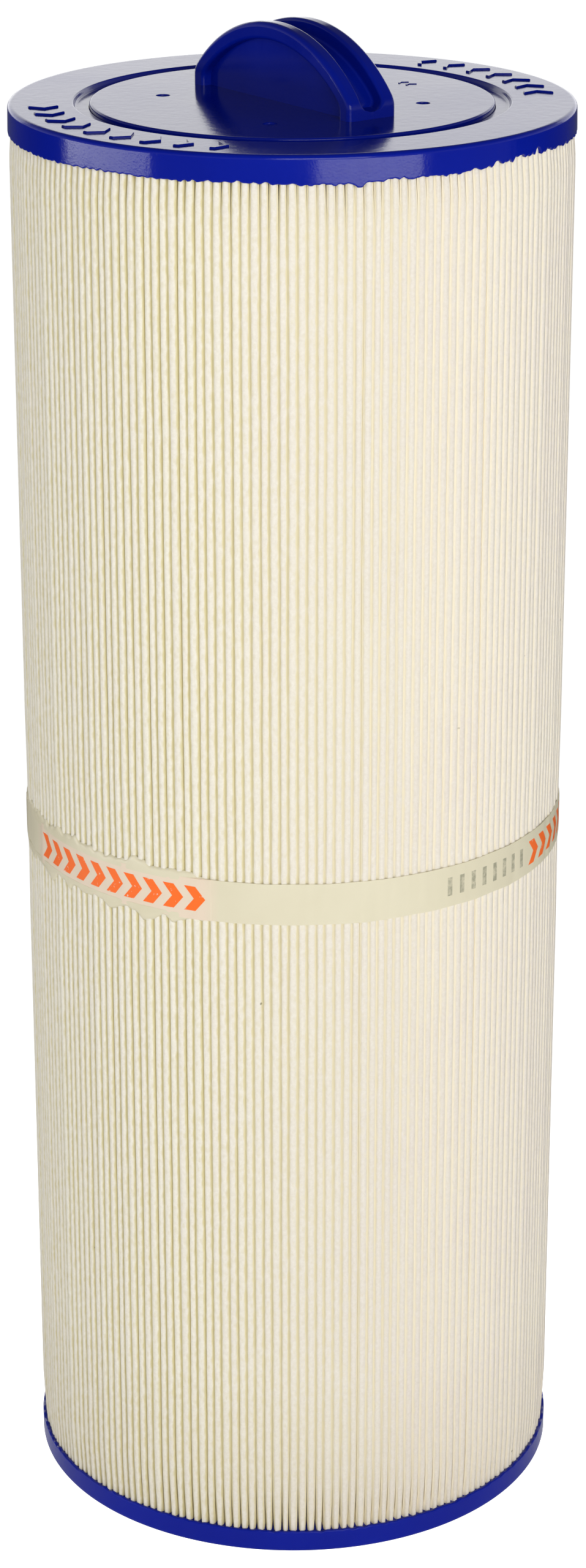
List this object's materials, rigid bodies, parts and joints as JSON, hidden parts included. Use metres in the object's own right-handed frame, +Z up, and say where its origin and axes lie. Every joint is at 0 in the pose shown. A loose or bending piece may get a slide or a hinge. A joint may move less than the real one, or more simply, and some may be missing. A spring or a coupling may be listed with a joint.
{
  "type": "pleated filter cartridge",
  "caption": "Round pleated filter cartridge with cast end caps, a fixed D-shaped grip on top and a threaded outlet at the bottom.",
  "frame": {"origin": "centre of the outlet spigot's open end, on the surface the cartridge stands on", "axes": "+Z up along the cartridge's axis to the grip, -Y the front, +X to the right"},
  "size_m": [0.1254, 0.1254, 0.3733],
  "materials": {
    "blue_plastic": "glossy moulded plastic",
    "cap_resin": "glossy cast urethane",
    "core_plastic": "moulded white plastic",
    "filter_fabric": "point-bonded spunbond polyester",
    "strap": "translucent film strap",
    "hot_melt": "translucent hot-melt adhesive"
  },
  "bodies": {
    "root": {"handle_plate": "blue_plastic", "top_cap": "cap_resin", "bottom_cap": "cap_resin", "threaded_fitting": "blue_plastic", "core_tube": "core_plastic", "pleated_media": "filter_fabric", "seam_strip": "hot_melt", "centre_band": "strap", "band_adhesive": "hot_melt"}
  },
  "joints": []
}
